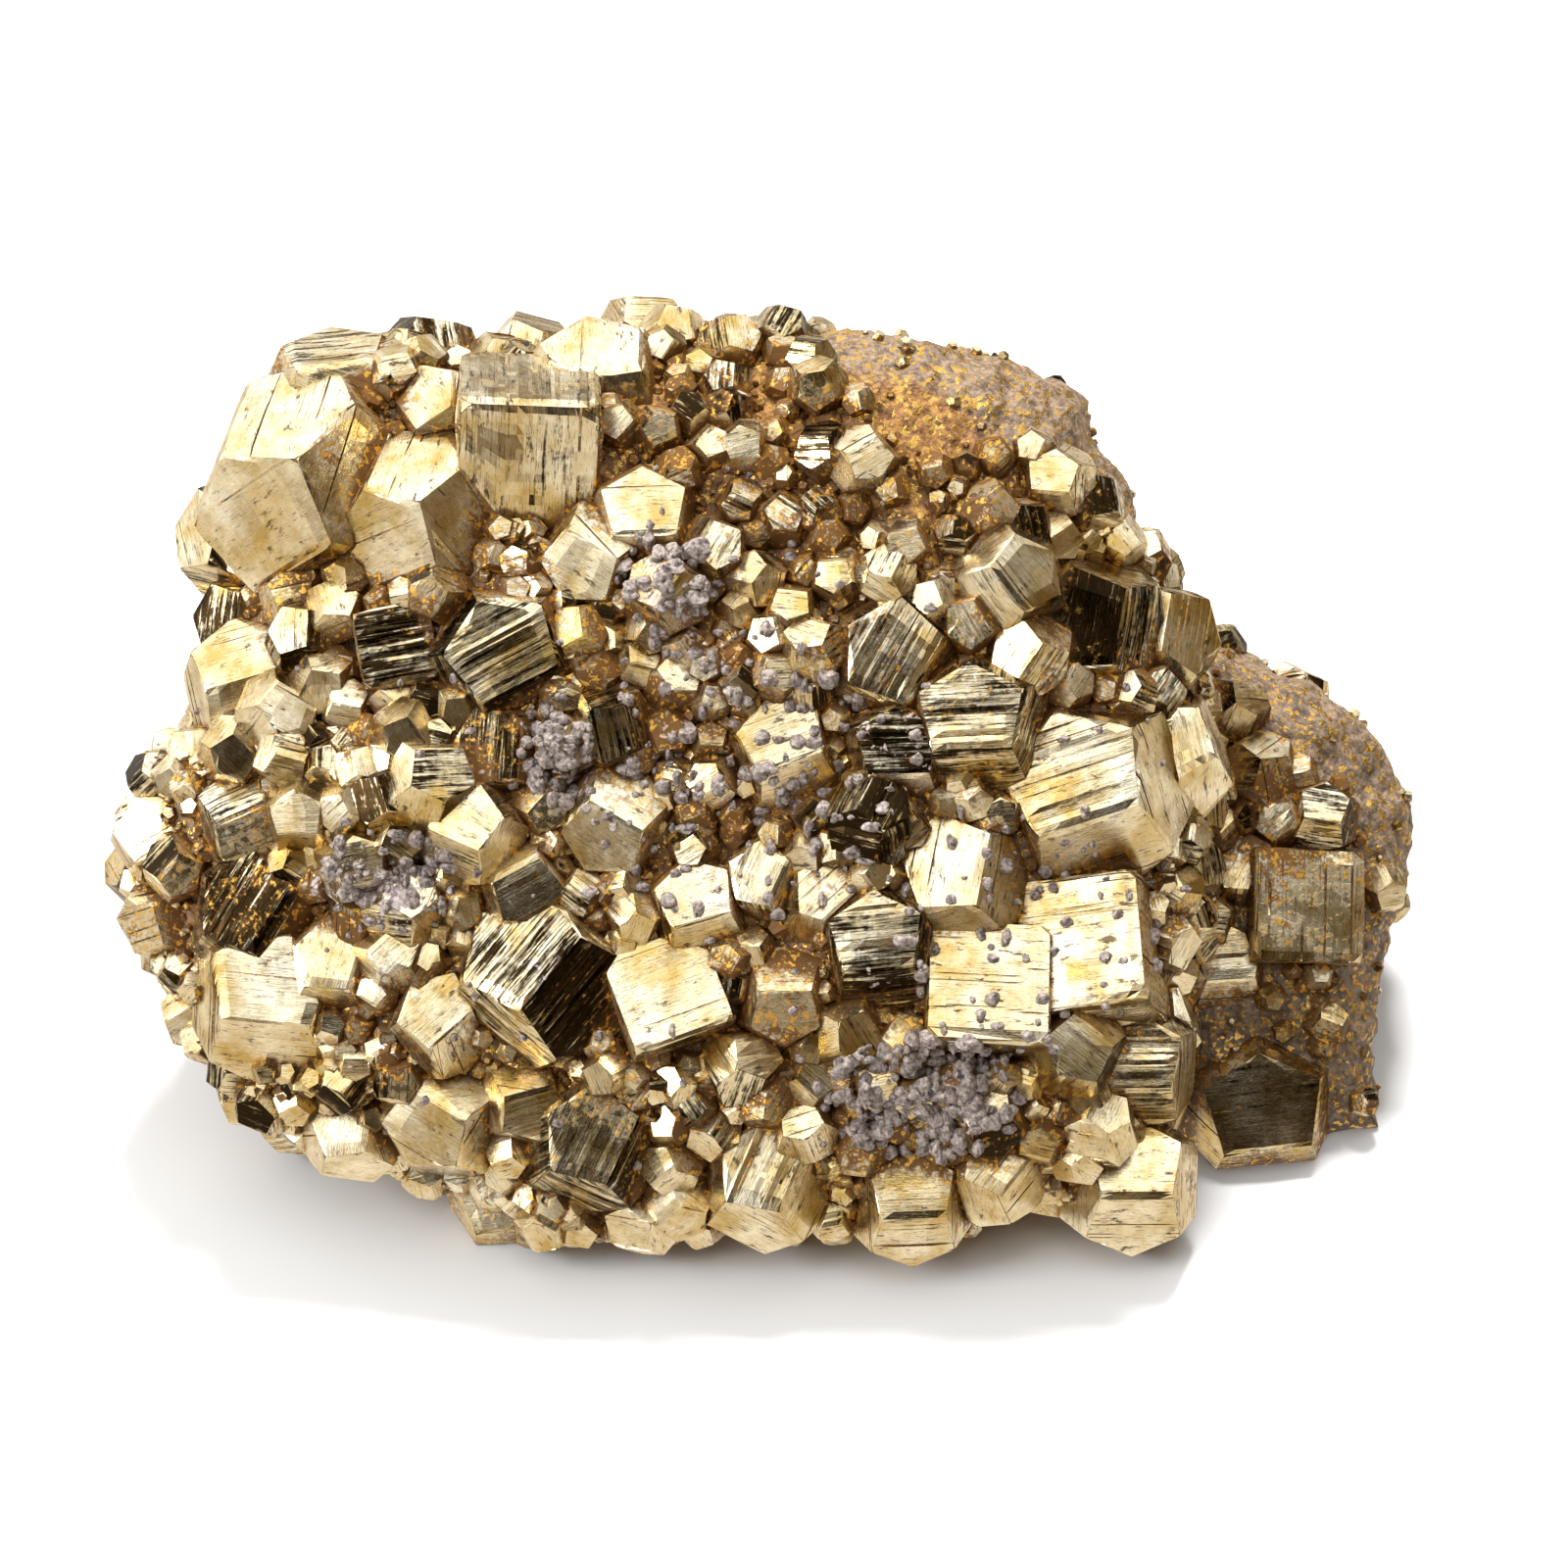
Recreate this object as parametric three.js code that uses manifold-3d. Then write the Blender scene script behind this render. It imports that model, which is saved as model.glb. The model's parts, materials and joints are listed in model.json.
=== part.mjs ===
// A pyrite specimen: a lump of granular pyrite matrix with a second lobe behind its right side,
// large pyritohedral crystals crowding the display face, and three crusts of grey galena.
//
// The display face is laid out flat, as (across, up, out) in millimetres from its middle, and then
// leaned back. "Out" points away from the rock. The finished group stands on z = 0, centred on z.
import * as THREE from "three";
import { ConvexGeometry } from "three/addons/geometries/ConvexGeometry.js";
import { mergeVertices } from "three/addons/utils/BufferGeometryUtils.js";
import Module from "manifold-3d";

const wasm = await Module();
wasm.setup();

// Driving dimensions, in millimetres and degrees
const FACE_LEAN = 42; // how far the display face's outward direction points above level
const BASE_DROP = 30.5; // from the middle of the display face straight down to the flat base
const CLEARANCE = 0.3; // left open between pieces that touch in nature
const PYRITOHEDRON_ROOF = 0.5; // height of the roof on each cube face, as a share of half a cube edge
const CUBE_BLUNTING = 0.16; // how far a cube's corners are cut back, as a share of half an edge
const ROCK_RINGS = 16; // rings of facets from the front of a lump to its back
const ROCK_SPOKES = 34; // facets round each ring
const ROCK_ROUGHNESS = 0.9; // how far a facet's corner wanders

// Each lump's outline on the display face, in order round it, as [across, up]
const MAIN_OUTLINE = [
  [-47, 32], [-42, 37], [-34, 39], [-26, 37], [-17, 40], [-9, 40], [10, 40], [21, 38.5],
  [28.5, 35], [31, 29], [33, 22], [37, 13], [38, 4], [37.5, -8], [36, -20], [35, -31],
  [34, -37.5], [24, -37], [13, -40.5], [-4, -39], [-20, -40], [-27, -34], [-41, -31],
  [-47, -28], [-51, -20], [-57, -9], [-56, 1], [-49, 8], [-47, 18], [-49, 25],
];
const LOBE_OUTLINE = [
  [36, 15], [42, 13.5], [47, 11], [52, 8], [56, 4], [59, -2], [58.5, -9], [57, -16],
  [55.5, -24], [57, -32], [52, -33.5], [44, -34], [37, -32], [31, -18], [31, 4],
];
const MAIN_LUMP = { outline: MAIN_OUTLINE, middle: [-6, 0], rim: 0, bulge: 13, depth: 35 };
const LOBE_LUMP = { outline: LOBE_OUTLINE, middle: [44, -10], rim: -12, bulge: 6, depth: 27 };
const LUMP_BOXINESS = 0.62; // 1 is a rounded lump and less is a squarer one

// Galena crusts: the middle as [across, up], half width, half height, thickness
const GALENA = [
  { name: "galena_left", at: [-33, -8.3], half: [5.6, 5.2], thick: 3.2 },
  { name: "galena_centre", at: [-18.6, 3.2], half: [3.2, 4.6], thick: 3.4 },
  { name: "galena_lower", at: [13.2, -26.8], half: [9, 5.2], thick: 3.6 },
];

// What a crystal can turn outward: its direction in the crystal's own axes, how far it lies from the
// crystal's middle, and how far it stands above the rock, both as a share of the size across.
// The faces are striated along their long side, which lies along the crystal's z axis.
const TURNED_OUT = {
  face: { direction: [1, 2, 0], distance: 0.447, rise: 0.19 },
  edge: { direction: [0, 1, 0], distance: 0.5, rise: 0.29 },
  corner: { direction: [1, 1, 1], distance: 0.577, rise: 0.32 },
  cube: { direction: [0, 1, 0], distance: 0.5, rise: 0.28 },
};

// The crystals. One cuts into every crystal after it in the list where the two have grown together.
// Columns: name, where its outward feature lies (across, up), size across, outward feature,
// direction of its grain, lean upward, turn to the right, surface
const CRYSTALS = [
  ["giant_right", 26.6, 0.9, 18, "face", 18, 8, -8, "bright"],
  ["block_right", 26.6, -13.3, 11.6, "cube", 8, 16, -16, "bright"],
  ["square_centre", 19.1, -16.8, 10.4, "cube", -3, 17, 3, "bright"],
  ["star_centre", 15.7, -6.6, 13, "face", 80, 17, -4, "bright"],
  ["tall_centre", 17.6, 3.4, 13.5, "edge", 3, -20, -4, "dark"],
  ["shoulder_right", 35.6, 3.6, 12, "face", 30, 12, 8, "bright"],
  ["black_upper", 27.6, 14.6, 13.5, "face", 80, 2, -2, "dark"],
  ["gold_upper", 35.1, 14.6, 11, "edge", 78, 18, 6, "bright"],
  ["slanted_upper", 10.8, 11.8, 13.5, "face", 60, 3, 5, "dark"],
  ["roof_centre", 11.2, 1.2, 10.5, "edge", 2, -24, 0, "dark"],
  ["hatched_lower", 9.5, -15.6, 12, "edge", 6, -22, -4, "dark"],
  ["wedge_left", -30.2, 24.7, 15, "corner", 14, 8, 0, "bright"],
  ["giant_left", -41.0, 28.5, 20.5, "corner", 22, 10, -4, "bright"],
  ["striated_top", -21.0, 27.6, 12, "cube", 88, -27, 3, "bright"],
  ["pentagon_top", -10.9, 24.4, 11, "face", 2, 15, 2, "bright"],
  ["pentagon_black", -23.0, 11.8, 14.5, "face", 28, 1, 1, "dark"],
  ["lilac_top", -15.3, 21.1, 10, "edge", -32, 12, 0, "bright"],
  ["edge_left", -49.4, 22.6, 11, "edge", 78, 4, -20, "dark"],
  ["step_left", -47.4, 15.0, 9, "edge", 84, 4, -6, "dark"],
  ["plate_top_left", -38.4, 37.2, 13.5, "edge", 8, 30, 0, "stained"],
  ["block_top", -27.8, 33.4, 10, "corner", 60, 10, 4, "bright"],
  ["bump_top", -15.3, 38.4, 14, "face", 12, 40, 0, "bright"],
  ["shoulder_left", -46.5, 9.5, 12.5, "edge", 16, 8, -8, "bright"],
  ["cube_black", -32.4, 12.4, 6.6, "cube", 10, 3, 3, "dark"],
  ["column_centre", -24.0, 3.6, 10.5, "face", 86, 1, -5, "dark"],
  ["polygon_centre", 1.1, 4.4, 11, "face", 20, 15, 0, "bright"],
  ["slope_centre", -13.2, -2.4, 10.5, "edge", -30, 6, 4, "bright"],
  ["low_centre", -6.4, -9.4, 10, "face", 16, 15, 0, "bright"],
  ["white_centre", 5.3, -8.9, 9.5, "face", 60, 16, 6, "bright"],
  ["striated_low", -0.9, -7.6, 8.5, "face", 66, 8, -6, "bright"],
  ["spark_left", -21.9, -7.2, 9, "edge", 30, 20, -6, "bright"],
  ["diagonal_lower", -18.8, -16.0, 16, "edge", 50, 3, 6, "dark"],
  ["block_lower", -8.8, -17.4, 9, "cube", 20, 16, 4, "bright"],
  ["block_low_centre", 1.4, -17.6, 9, "edge", 0, 10, 0, "stained"],
  ["edge_pale_left", -55.0, -3.6, 9.5, "face", 30, 12, -18, "bright"],
  ["edge_low_left", -54.4, -10.6, 9, "corner", 10, 6, -14, "stained"],
  ["green_left", -45.6, -10.2, 13, "face", 58, 3, -8, "dark"],
  ["striated_left", -46.2, -1.9, 9.5, "edge", 24, 14, -6, "bright"],
  ["plate_left", -38.0, -14.6, 10, "face", 74, 14, 0, "bright"],
  ["spotted_left", -28.9, -19.4, 10, "face", 42, 13, 0, "bright"],
  ["giant_lower_left", -43.9, -20.6, 15.5, "edge", -6, -18, -4, "bright"],
  ["cream_lower_left", -28.9, -27.6, 11.5, "edge", -30, 12, -4, "bright"],
  ["gold_lower_left", -37.4, -29.6, 9.5, "face", 84, 8, -6, "bright"],
  ["curved_lower", -21.0, -26.4, 8.5, "edge", 14, 12, 4, "bright"],
  ["pentagon_lower", -15.4, -30.4, 13, "face", 64, 2, 3, "dark"],
  ["plate_bottom", -23.7, -37.0, 11.5, "face", 8, -4, -4, "stained"],
  ["silver_bottom", -0.4, -33.2, 12.5, "face", 66, 12, 0, "bright"],
  ["pentagon_bottom", 12.6, -35.4, 11, "face", 2, 12, 2, "bright"],
  ["white_bottom", 20.2, -32.8, 9.5, "face", 50, 14, 6, "bright"],
  ["black_bottom", 32.3, -26.4, 12, "edge", 0, -20, 4, "dark"],
  ["spotted_right", 34.6, -20.2, 8.5, "face", 30, 14, 10, "bright"],
  ["block_bottom", 32.4, -35.8, 12.5, "edge", 0, -6, 4, "bright"],
  ["stained_rear", 48.8, -10.7, 10, "cube", -2, 4, 6, "stained"],
  ["bright_rear", 43.2, -6.8, 8.5, "face", 74, 16, -6, "bright"],
  ["gold_rear", 41.6, -15.4, 9, "face", 4, 10, 0, "bright"],
  ["brown_rear", 44.9, -29.4, 16, "face", 6, -4, 4, "stained"],
];

const FINISH = {
  bright: { color: 0xd8b56a, metalness: 1, roughness: 0.3 },
  dark: { color: 0x5b4a26, metalness: 1, roughness: 0.35 },
  stained: { color: 0x8a5a2a, metalness: 0.8, roughness: 0.5 },
  rock: { color: 0x8b6a44, metalness: 0.3, roughness: 0.8 },
  galena: { color: 0x6c6672, metalness: 0.8, roughness: 0.5 },
};

const radians = THREE.MathUtils.degToRad;

// From the flat layout of the display face to the standing specimen
const LEANED_BACK = new THREE.Matrix4().makeBasis(
  new THREE.Vector3(1, 0, 0),
  new THREE.Vector3(0, Math.sin(radians(FACE_LEAN)), Math.cos(radians(FACE_LEAN))),
  new THREE.Vector3(0, -Math.cos(radians(FACE_LEAN)), Math.sin(radians(FACE_LEAN))),
).setPosition(0, 0, BASE_DROP);

// A small repeatable number from -0.5 to 0.5 for each pair of whole numbers
function wander(i, j) {
  const wave = Math.sin(i * 127.1 + j * 311.7) * 43758.5453;
  return wave - Math.floor(wave) - 0.5;
}

// How far a lump's outline lies from its middle, in one direction
function reach(lump, angle) {
  const along = new THREE.Vector2(Math.cos(angle), Math.sin(angle));
  const middle = new THREE.Vector2(...lump.middle);
  let best = 0;
  lump.outline.forEach((corner, i) => {
    const start = new THREE.Vector2(...corner).sub(middle);
    const side = new THREE.Vector2(...lump.outline[(i + 1) % lump.outline.length]).sub(middle).sub(start);
    const across = along.cross(side);
    const distance = start.cross(side) / across;
    const share = start.cross(along) / across;
    if (distance > best && share >= 0 && share <= 1) {
      best = distance;
    }
  });
  return best;
}

// The point of a lump's surface at one angle round it and one turn from front (0) to back (pi)
function lumpPoint(lump, angle, turn) {
  const outward = reach(lump, angle) * Math.abs(Math.sin(turn)) ** LUMP_BOXINESS;
  const height = Math.cos(turn) > 0 ? lump.bulge : lump.depth;
  return new THREE.Vector3(
    lump.middle[0] + outward * Math.cos(angle),
    lump.middle[1] + outward * Math.sin(angle),
    lump.rim + height * Math.cos(turn),
  );
}

// How far out a lump's front lies at one place, or null beside the lump
function lumpFront(lump, across, up) {
  const offset = new THREE.Vector2(across - lump.middle[0], up - lump.middle[1]);
  const share = offset.length() / reach(lump, offset.angle());
  if (share >= 1) {
    return null;
  }
  const sine = share ** (1 / LUMP_BOXINESS);
  return lump.rim + lump.bulge * Math.sqrt(1 - sine * sine);
}

function rockFront(across, up) {
  const fronts = [MAIN_LUMP, LOBE_LUMP].map((lump) => lumpFront(lump, across, up));
  const found = fronts.filter((front) => front !== null);
  return found.length ? Math.max(...found) : MAIN_LUMP.rim;
}

// A closed lump from its front pole, rings of facets and back pole
function lumpGeometry(lump) {
  const points = [lumpPoint(lump, 0, 0)];
  for (let ring = 1; ring < ROCK_RINGS; ring += 1) {
    for (let spoke = 0; spoke < ROCK_SPOKES; spoke += 1) {
      const angle = ((spoke + (ring % 2) / 2) / ROCK_SPOKES) * 2 * Math.PI;
      const point = lumpPoint(lump, angle, (ring / ROCK_RINGS) * Math.PI);
      const rough = [wander(ring, spoke), wander(spoke, ring + 7), wander(ring + 3, spoke + 5)];
      points.push(point.add(new THREE.Vector3(...rough).multiplyScalar(2 * ROCK_ROUGHNESS)));
    }
  }
  points.push(lumpPoint(lump, 0, Math.PI));

  // Every second ring is turned by half a facet, so the two kinds of ring join differently
  const triangles = [];
  const last = points.length - 1;
  const at = (ring, spoke) => 1 + (ring - 1) * ROCK_SPOKES + (spoke % ROCK_SPOKES);
  for (let spoke = 0; spoke < ROCK_SPOKES; spoke += 1) {
    const next = spoke + 1;
    triangles.push(0, at(1, spoke), at(1, next));
    for (let ring = 1; ring < ROCK_RINGS - 1; ring += 1) {
      const below = ring + 1;
      const [first, second] = ring % 2 ? [next, spoke] : [spoke, next];
      triangles.push(at(ring, spoke), at(below, spoke), ring % 2 ? at(below, next) : at(ring, next));
      triangles.push(at(ring, second), at(below, first), ring % 2 ? at(ring, next) : at(below, next));
    }
    triangles.push(last, at(ROCK_RINGS - 1, next), at(ROCK_RINGS - 1, spoke));
  }
  const geometry = new THREE.BufferGeometry().setFromPoints(points);
  geometry.setIndex(triangles);
  return geometry;
}

// The 20 corners of a pyritohedron 3 units across, or the blunted corners of a cube as wide
function crystalCorners(shows) {
  const corners = [];
  for (const a of [-1, 1]) {
    for (const b of [-1, 1]) {
      const roof = [0, a * (1 + PYRITOHEDRON_ROOF), b * (1 - PYRITOHEDRON_ROOF ** 2)];
      const blunt = [a, b].map((side) => side * 1.5);
      for (let turn = 0; turn < 3; turn += 1) {
        const axis = (i) => (i + turn) % 3;
        if (shows === "cube") {
          for (const c of [-1, 1]) {
            const corner = [blunt[0], blunt[1], c * 1.5 * (1 - CUBE_BLUNTING)];
            corners.push(new THREE.Vector3(corner[axis(0)], corner[axis(1)], corner[axis(2)]));
          }
        } else {
          corners.push(new THREE.Vector3(roof[axis(0)], roof[axis(1)], roof[axis(2)]));
        }
      }
      if (shows !== "cube") {
        corners.push(new THREE.Vector3(a, b, 1), new THREE.Vector3(a, b, -1));
      }
    }
  }
  return corners;
}

// One crystal, grown by a margin on every side, in the flat layout
function crystalGeometry([, across, up, size, shows, grain, lean, turn], margin) {
  const feature = TURNED_OUT[shows];
  const out = new THREE.Vector3(...feature.direction).normalize();
  const along = new THREE.Vector3(0, 0, 1).addScaledVector(out, -out.z).normalize();
  const side = new THREE.Vector3().crossVectors(out, along);
  const levelled = new THREE.Matrix4().makeBasis(along, side, out).transpose();
  const spun = new THREE.Matrix4().makeRotationZ(radians(grain)).multiply(levelled);
  const tipped = new THREE.Matrix4().makeRotationFromEuler(
    new THREE.Euler(-radians(lean), radians(turn), 0, "YXZ"),
  );
  const middle = new THREE.Vector3(0, 0, -feature.distance * size).applyMatrix4(tipped);
  middle.add(new THREE.Vector3(across, up, rockFront(across, up) + feature.rise * size));

  const scale = size / 3 + margin;
  const geometry = new ConvexGeometry(crystalCorners(shows));
  geometry.applyMatrix4(tipped.multiply(spun));
  return geometry.scale(scale, scale, scale).translate(...middle);
}

// A low dome of galena on the rock
function galenaGeometry({ at, half, thick }, margin) {
  const geometry = new THREE.IcosahedronGeometry(1, 2);
  geometry.scale(half[0] + margin, half[1] + margin, thick + margin);
  geometry.translate(at[0], at[1], rockFront(...at) + thick * 0.25);
  return geometry;
}

function toManifold(geometry) {
  const bare = new THREE.BufferGeometry();
  bare.setAttribute("position", geometry.getAttribute("position"));
  bare.setIndex(geometry.getIndex());
  const merged = mergeVertices(bare, 1e-4);
  return new wasm.Manifold(new wasm.Mesh({
    numProp: 3,
    vertProperties: new Float32Array(merged.getAttribute("position").array),
    triVerts: new Uint32Array(merged.getIndex().array),
  }));
}

// The triangles of a solid's largest body: crumbs cut loose between the crystals are left out
function largestBody(triangles, pointCount) {
  const parent = Array.from({ length: pointCount }, (_, i) => i);
  const root = (i) => {
    while (parent[i] !== i) {
      parent[i] = parent[parent[i]];
      i = parent[i];
    }
    return i;
  };
  for (let i = 0; i < triangles.length; i += 3) {
    parent[root(triangles[i + 1])] = root(triangles[i]);
    parent[root(triangles[i + 2])] = root(triangles[i]);
  }
  const bodies = new Map();
  for (let i = 0; i < triangles.length; i += 3) {
    const key = root(triangles[i]);
    bodies.set(key, [...(bodies.get(key) ?? []), ...triangles.slice(i, i + 3)]);
  }
  return [...bodies.values()].reduce((best, body) => (body.length > best.length ? body : best));
}

function toMesh(name, solid, finish) {
  const { vertProperties, triVerts } = solid.getMesh();
  const whole = new THREE.BufferGeometry();
  whole.setAttribute("position", new THREE.BufferAttribute(vertProperties, 3));
  whole.setIndex(largestBody([...triVerts], vertProperties.length / 3));
  const mesh = new THREE.Mesh(whole.toNonIndexed(), new THREE.MeshStandardMaterial(FINISH[finish]));
  mesh.name = name;
  return mesh;
}

const standing = (geometry) => toManifold(geometry.applyMatrix4(LEANED_BACK));

// Each piece gives way to the ones placed before it, and the rock gives way to them all
const pieces = [];
const grown = [];
function place(name, shape, finish) {
  let solid = standing(shape(0));
  for (const earlier of grown) {
    if (solid.intersect(earlier).volume() > 0) {
      solid = solid.subtract(earlier);
    }
  }
  grown.push(standing(shape(CLEARANCE)));
  pieces.push([name, solid, finish]);
}
for (const row of CRYSTALS) {
  place(`crystal_${row[0]}`, (margin) => crystalGeometry(row, margin), row[8]);
}
for (const crust of GALENA) {
  place(crust.name, (margin) => galenaGeometry(crust, margin), "galena");
}

const underground = toManifold(new THREE.BoxGeometry(400, 400, 200).translate(0, 0, -100));
let rock = standing(lumpGeometry(MAIN_LUMP)).add(standing(lumpGeometry(LOBE_LUMP)));
for (const hollow of grown) {
  rock = rock.subtract(hollow);
}
pieces.push(["matrix_rock", rock, "rock"]);

const specimen = new THREE.Group();
specimen.name = "pyrite_specimen";
for (const [name, solid, finish] of pieces) {
  specimen.add(toMesh(name, solid.subtract(underground), finish));
}
const box = new THREE.Box3().setFromObject(specimen);
const middle = box.getCenter(new THREE.Vector3());
for (const mesh of specimen.children) {
  mesh.geometry.translate(-middle.x, -middle.y, -box.min.z);
}

export default specimen;
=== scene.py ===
"""A pyrite specimen: pyritohedral crystals with striated faces, granular rock and galena nodules.

The display face is laid out flat, as (across, up, out) in millimetres from its middle, and leaned
back. stand() turns that layout into the frame's own coordinates, in metres.
"""

import json
import math
from functools import partial

import bmesh
import bpy
import numpy as np
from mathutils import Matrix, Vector
from mathutils.bvhtree import BVHTree

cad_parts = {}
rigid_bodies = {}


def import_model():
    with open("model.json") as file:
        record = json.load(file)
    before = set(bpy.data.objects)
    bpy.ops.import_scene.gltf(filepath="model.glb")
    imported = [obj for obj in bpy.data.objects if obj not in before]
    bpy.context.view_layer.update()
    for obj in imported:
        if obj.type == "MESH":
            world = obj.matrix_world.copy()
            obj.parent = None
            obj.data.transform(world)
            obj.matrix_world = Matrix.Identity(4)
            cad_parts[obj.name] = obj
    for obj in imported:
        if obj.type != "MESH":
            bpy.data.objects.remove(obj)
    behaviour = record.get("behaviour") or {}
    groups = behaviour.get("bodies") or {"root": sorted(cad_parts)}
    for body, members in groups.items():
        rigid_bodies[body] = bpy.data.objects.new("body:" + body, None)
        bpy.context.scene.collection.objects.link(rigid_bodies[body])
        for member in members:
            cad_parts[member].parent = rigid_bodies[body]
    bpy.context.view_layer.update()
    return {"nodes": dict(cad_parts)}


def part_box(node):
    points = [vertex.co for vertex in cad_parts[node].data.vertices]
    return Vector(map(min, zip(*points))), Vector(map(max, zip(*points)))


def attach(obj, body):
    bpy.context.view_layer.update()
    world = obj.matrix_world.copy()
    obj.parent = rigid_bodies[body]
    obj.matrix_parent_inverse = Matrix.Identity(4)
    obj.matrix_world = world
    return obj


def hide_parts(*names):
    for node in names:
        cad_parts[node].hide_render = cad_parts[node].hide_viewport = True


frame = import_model()
NODES = frame["nodes"]

MM = 0.001
FACE_LEAN = math.radians(42)
ACROSS = np.array([1.0, 0.0, 0.0])
UP = np.array([0.0, math.sin(FACE_LEAN), math.cos(FACE_LEAN)])
OUT = np.array([0.0, -math.cos(FACE_LEAN), math.sin(FACE_LEAN)])
LAYOUT = np.stack([ACROSS, UP, OUT])

# The two lumps of rock: their outlines on the display face, as [across, up] in millimetres
MAIN_OUTLINE = np.array([
    [-47, 32], [-42, 37], [-34, 39], [-26, 37], [-17, 40], [-9, 40], [10, 40], [21, 38.5],
    [28.5, 35], [31, 29], [33, 22], [37, 13], [38, 4], [37.5, -8], [36, -20], [35, -31],
    [34, -37.5], [24, -37], [13, -40.5], [-4, -39], [-20, -40], [-27, -34], [-41, -31],
    [-47, -28], [-51, -20], [-57, -9], [-56, 1], [-49, 8], [-47, 18], [-49, 25],
])  # fmt: skip
LOBE_OUTLINE = np.array([
    [36, 15], [42, 13.5], [47, 11], [52, 8], [56, 4], [59, -2], [58.5, -9], [57, -16],
    [55.5, -24], [57, -32], [52, -33.5], [44, -34], [37, -32], [31, -18], [31, 4],
])  # fmt: skip
MAIN_LUMP = dict(outline=MAIN_OUTLINE, middle=(-6, 0), rim=0, bulge=13, depth=35)
LOBE_LUMP = dict(outline=LOBE_OUTLINE, middle=(44, -10), rim=-12, bulge=6, depth=27)
LUMP_BOXINESS = 0.62


# ---------------------------------------------------------------- numbers


def seeded(seed):
    return np.random.default_rng(seed)


def unit(v):
    v = np.asarray(v, float)
    return v / np.maximum(np.linalg.norm(v, axis=-1, keepdims=True), 1e-12)


def lattice(cell, seed):
    """A repeatable random number from 0 to 1 for each whole-numbered cell (..., 3)."""
    h = (cell * np.array([374761393, 668265263, 2147483647])).sum(-1) + seed * 1274126177
    h = (h ^ (h >> 13)) * 1274126177
    h = (h ^ (h >> 16)) & 0xFFFFFF
    return h / float(0xFFFFFF)


def smooth_noise(points, size, seed=0):
    """Value noise from -1 to 1: lattice values blended by 3t^2 - 2t^3 in each direction."""
    p = points / size
    cell = np.floor(p).astype(np.int64)
    t = p - cell
    t = t * t * (3 - 2 * t)
    total = 0
    for corner in np.ndindex(2, 2, 2):
        weight = np.prod(np.where(np.array(corner) == 1, t, 1 - t), axis=-1)
        total = total + weight * lattice(cell + np.array(corner), seed)
    return total * 2 - 1


def grains(points, size, seed=0):
    """Distance to the nearest of one random point in each cell, in cells."""
    p = points / size
    cell = np.floor(p).astype(np.int64)
    best = np.full(len(points), 9.0)
    for step in np.ndindex(3, 3, 3):
        near = cell + np.array(step) - 1
        spot = near + np.stack([lattice(near, seed + k) for k in range(3)], axis=-1)
        best = np.minimum(best, np.linalg.norm(spot - p, axis=-1))
    return best


def broken_planes(points, size, seed=0):
    """Steps and slopes: each cell's own random slope, times the way from the cell's random point."""
    p = points / size
    cell = np.floor(p).astype(np.int64)
    best, height = np.full(len(points), 9.0), np.zeros(len(points))
    for step in np.ndindex(3, 3, 3):
        near = cell + np.array(step) - 1
        away = p - near - np.stack([lattice(near, seed + k) for k in range(3)], axis=-1)
        slope = np.stack([lattice(near, seed + 3 + k) for k in range(3)], axis=-1) * 2 - 1
        far = np.linalg.norm(away, axis=-1)
        height = np.where(far < best, (away * slope).sum(-1), height)
        best = np.minimum(best, far)
    return height


# ---------------------------------------------------------------- the rock's shape


def reach(lump, angles):
    """How far the outline lies from the lump's middle: where the ray at each angle crosses it."""
    start = lump["outline"] - np.array(lump["middle"])
    side = np.roll(start, -1, axis=0) - start
    ray = np.stack([np.cos(angles), np.sin(angles)], axis=-1)[..., None, :]
    across = ray[..., 0] * side[:, 1] - ray[..., 1] * side[:, 0]
    across = np.where(np.abs(across) < 1e-9, 1e-9, across)
    far = (start[:, 0] * side[:, 1] - start[:, 1] * side[:, 0]) / across
    share = (start[:, 0] * ray[..., 1] - start[:, 1] * ray[..., 0]) / across
    return np.where((far > 0) & (share >= -1e-6) & (share <= 1 + 1e-6), far, 0).max(-1)


def lump_front(lump, across, up):
    """How far out the front of a lump lies, or minus infinity beside the lump."""
    x, y = across - lump["middle"][0], up - lump["middle"][1]
    share = np.hypot(x, y) / reach(lump, np.arctan2(y, x))
    sine = np.minimum(share, 1) ** (1 / LUMP_BOXINESS)
    front = lump["rim"] + lump["bulge"] * np.sqrt(1 - sine**2)
    return np.where(share < 1, front, -np.inf)


def rock_front(across, up):
    across, up = np.asarray(across, float), np.asarray(up, float)
    return np.maximum(lump_front(MAIN_LUMP, across, up), lump_front(LOBE_LUMP, across, up))


# The solid for giant_right is whole, so the middle of its box shows where the layout's middle is.
# Its outer face lies at [across, up], and stands above the rock by a share of the crystal's size.
GIANT_SIZE = 18.0
GIANT_FACE_AT = np.array([26.6, 0.9])
GIANT_LEAN, GIANT_TURN = math.radians(8), math.radians(-8)
GIANT_RISE = 0.19
GIANT_FACE_DISTANCE = 0.447  # from the crystal's middle, as a share of its size
GIANT_OUT = np.array([
    math.sin(GIANT_TURN) * math.cos(GIANT_LEAN),
    math.sin(GIANT_LEAN),
    math.cos(GIANT_TURN) * math.cos(GIANT_LEAN),
])  # fmt: skip
GIANT_AT = np.array([*GIANT_FACE_AT, rock_front(*GIANT_FACE_AT) + GIANT_RISE * GIANT_SIZE])
GIANT_AT = GIANT_AT - GIANT_FACE_DISTANCE * GIANT_SIZE * GIANT_OUT
low, high = (np.array(side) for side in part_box("crystal_giant_right"))
ORIGIN = (low + high) / 2 / MM - GIANT_AT @ LAYOUT


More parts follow.
